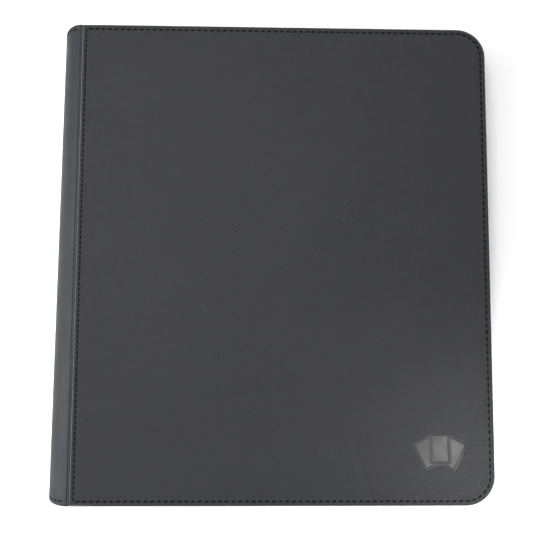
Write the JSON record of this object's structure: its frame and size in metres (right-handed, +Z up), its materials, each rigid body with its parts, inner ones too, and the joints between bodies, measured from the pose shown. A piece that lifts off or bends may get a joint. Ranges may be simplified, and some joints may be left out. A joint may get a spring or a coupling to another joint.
{
  "type": "trading card binder",
  "caption": "Zip-around side-loading card album: padded woven-embossed leatherette covers, rounded smooth spine and pocket pages that open flat like a book.",
  "frame": {"origin": "middle of the closed binder's footprint, on the surface that its back cover rests on", "axes": "+Z up through the closed binder from the back cover to the front cover, +Y towards the top edge of the book, spine at -X, fore-edge at +X"},
  "size_m": [0.302, 0.332, 0.038],
  "materials": {
    "cover_leatherette": "woven-embossed, satin",
    "spine_leatherette": "smooth grain, satin",
    "foam": "soft foam",
    "board": "raw greyboard",
    "lining": "fine woven",
    "tape": "herringbone tape",
    "coil": "matte nylon",
    "binding_strip": "smooth",
    "page": "clear film over matte black backing",
    "zip_metal": "black gunmetal plating"
  },
  "bodies": {
    "back_cover": {"back_skin": "cover_leatherette", "back_foam": "foam", "back_board": "board", "back_lining": "lining", "back_zip_facing": "tape", "back_zip_tape": "tape", "back_zip_coil": "coil", "back_top_stop": "zip_metal", "bottom_stop": "zip_metal"},
    "spine": {"spine_skin": "spine_leatherette", "spine_stiffener": "board", "spine_lining": "lining", "back_hinge_welt": "spine_leatherette", "front_hinge_welt": "spine_leatherette", "binding_flap": "tape", "page_tabs": "page", "back_binding_strip": "binding_strip", "front_binding_strip": "binding_strip", "binding_rivets": "zip_metal"},
    "front_cover": {"front_skin": "cover_leatherette", "front_foam": "foam", "front_board": "board", "front_lining": "lining", "front_zip_facing": "tape", "front_zip_tape": "tape", "front_zip_coil": "coil", "front_top_stop": "zip_metal"},
    "slider": {"zip_slider": "zip_metal", "slider_crown": "zip_metal"},
    "pull": {"zip_pull": "zip_metal"},
    "leaf_01": {"page_01": "page"},
    "leaf_02": {"page_02": "page"},
    "leaf_03": {"page_03": "page"},
    "leaf_04": {"page_04": "page"},
    "leaf_05": {"page_05": "page"},
    "leaf_06": {"page_06": "page"},
    "leaf_07": {"page_07": "page"},
    "leaf_08": {"page_08": "page"},
    "leaf_09": {"page_09": "page"},
    "leaf_10": {"page_10": "page"},
    "leaf_11": {"page_11": "page"},
    "leaf_12": {"page_12": "page"},
    "leaf_13": {"page_13": "page"},
    "leaf_14": {"page_14": "page"},
    "leaf_15": {"page_15": "page"},
    "leaf_16": {"page_16": "page"},
    "leaf_17": {"page_17": "page"},
    "leaf_18": {"page_18": "page"},
    "leaf_19": {"page_19": "page"},
    "leaf_20": {"page_20": "page"}
  },
  "joints": [
    {"name": "spine_fold", "type": "hinge", "parent": "back_cover", "child": "spine", "pos_m": [-0.137, 0, 0.0018], "axis": [0, -1, 0], "range_deg": [0, 90]},
    {"name": "cover_open", "type": "hinge", "parent": "spine", "child": "front_cover", "pos_m": [-0.137, 0, 0.0362], "axis": [0, -1, 0], "range_deg": [0, 90]},
    {"name": "zip_slider_run", "type": "slide", "parent": "back_cover", "child": "slider", "axis": [1, 0, 0], "range_m": [0, 0.238]},
    {"name": "zip_pull_swing", "type": "hinge", "parent": "slider", "child": "pull", "pos_m": [-0.114, -0.16325, 0.019], "axis": [0, 0, -1], "range_deg": [0, 160]},
    {"name": "page_01_turn", "type": "hinge", "parent": "spine", "child": "leaf_01", "pos_m": [-0.119, 0, 0.019], "axis": [0, -1, 0], "range_deg": [0, 90]},
    {"name": "page_02_turn", "type": "hinge", "parent": "spine", "child": "leaf_02", "pos_m": [-0.119, 0, 0.019], "axis": [0, -1, 0], "range_deg": [0, 90]},
    {"name": "page_03_turn", "type": "hinge", "parent": "spine", "child": "leaf_03", "pos_m": [-0.119, 0, 0.019], "axis": [0, -1, 0], "range_deg": [0, 90]},
    {"name": "page_04_turn", "type": "hinge", "parent": "spine", "child": "leaf_04", "pos_m": [-0.119, 0, 0.019], "axis": [0, -1, 0], "range_deg": [0, 90]},
    {"name": "page_05_turn", "type": "hinge", "parent": "spine", "child": "leaf_05", "pos_m": [-0.119, 0, 0.019], "axis": [0, -1, 0], "range_deg": [0, 90]},
    {"name": "page_06_turn", "type": "hinge", "parent": "spine", "child": "leaf_06", "pos_m": [-0.119, 0, 0.019], "axis": [0, -1, 0], "range_deg": [0, 90]},
    {"name": "page_07_turn", "type": "hinge", "parent": "spine", "child": "leaf_07", "pos_m": [-0.119, 0, 0.019], "axis": [0, -1, 0], "range_deg": [0, 90]},
    {"name": "page_08_turn", "type": "hinge", "parent": "spine", "child": "leaf_08", "pos_m": [-0.119, 0, 0.019], "axis": [0, -1, 0], "range_deg": [0, 90]},
    {"name": "page_09_turn", "type": "hinge", "parent": "spine", "child": "leaf_09", "pos_m": [-0.119, 0, 0.019], "axis": [0, -1, 0], "range_deg": [0, 90]},
    {"name": "page_10_turn", "type": "hinge", "parent": "spine", "child": "leaf_10", "pos_m": [-0.119, 0, 0.019], "axis": [0, -1, 0], "range_deg": [0, 90]},
    {"name": "page_11_turn", "type": "hinge", "parent": "spine", "child": "leaf_11", "pos_m": [-0.119, 0, 0.019], "axis": [0, -1, 0], "range_deg": [-90, 0]},
    {"name": "page_12_turn", "type": "hinge", "parent": "spine", "child": "leaf_12", "pos_m": [-0.119, 0, 0.019], "axis": [0, -1, 0], "range_deg": [-90, 0]},
    {"name": "page_13_turn", "type": "hinge", "parent": "spine", "child": "leaf_13", "pos_m": [-0.119, 0, 0.019], "axis": [0, -1, 0], "range_deg": [-90, 0]},
    {"name": "page_14_turn", "type": "hinge", "parent": "spine", "child": "leaf_14", "pos_m": [-0.119, 0, 0.019], "axis": [0, -1, 0], "range_deg": [-90, 0]},
    {"name": "page_15_turn", "type": "hinge", "parent": "spine", "child": "leaf_15", "pos_m": [-0.119, 0, 0.019], "axis": [0, -1, 0], "range_deg": [-90, 0]},
    {"name": "page_16_turn", "type": "hinge", "parent": "spine", "child": "leaf_16", "pos_m": [-0.119, 0, 0.019], "axis": [0, -1, 0], "range_deg": [-90, 0]},
    {"name": "page_17_turn", "type": "hinge", "parent": "spine", "child": "leaf_17", "pos_m": [-0.119, 0, 0.019], "axis": [0, -1, 0], "range_deg": [-90, 0]},
    {"name": "page_18_turn", "type": "hinge", "parent": "spine", "child": "leaf_18", "pos_m": [-0.119, 0, 0.019], "axis": [0, -1, 0], "range_deg": [-90, 0]},
    {"name": "page_19_turn", "type": "hinge", "parent": "spine", "child": "leaf_19", "pos_m": [-0.119, 0, 0.019], "axis": [0, -1, 0], "range_deg": [-90, 0]},
    {"name": "page_20_turn", "type": "hinge", "parent": "spine", "child": "leaf_20", "pos_m": [-0.119, 0, 0.019], "axis": [0, -1, 0], "range_deg": [-90, 0]}
  ],
  "couplings": [
    {"joint": "cover_open", "follows": "spine_fold", "ratio": 1},
    {"joint": "page_01_turn", "follows": "spine_fold", "ratio": 1},
    {"joint": "page_02_turn", "follows": "spine_fold", "ratio": 0.9933},
    {"joint": "page_03_turn", "follows": "spine_fold", "ratio": 0.9867},
    {"joint": "page_04_turn", "follows": "spine_fold", "ratio": 0.98},
    {"joint": "page_05_turn", "follows": "spine_fold", "ratio": 0.9733},
    {"joint": "page_06_turn", "follows": "spine_fold", "ratio": 0.9667},
    {"joint": "page_07_turn", "follows": "spine_fold", "ratio": 0.96},
    {"joint": "page_08_turn", "follows": "spine_fold", "ratio": 0.9533},
    {"joint": "page_09_turn", "follows": "spine_fold", "ratio": 0.9467},
    {"joint": "page_10_turn", "follows": "spine_fold", "ratio": 0.94},
    {"joint": "page_11_turn", "follows": "spine_fold", "ratio": -0.94},
    {"joint": "page_12_turn", "follows": "spine_fold", "ratio": -0.9467},
    {"joint": "page_13_turn", "follows": "spine_fold", "ratio": -0.9533},
    {"joint": "page_14_turn", "follows": "spine_fold", "ratio": -0.96},
    {"joint": "page_15_turn", "follows": "spine_fold", "ratio": -0.9667},
    {"joint": "page_16_turn", "follows": "spine_fold", "ratio": -0.9733},
    {"joint": "page_17_turn", "follows": "spine_fold", "ratio": -0.98},
    {"joint": "page_18_turn", "follows": "spine_fold", "ratio": -0.9867},
    {"joint": "page_19_turn", "follows": "spine_fold", "ratio": -0.9933},
    {"joint": "page_20_turn", "follows": "spine_fold", "ratio": -1}
  ]
}
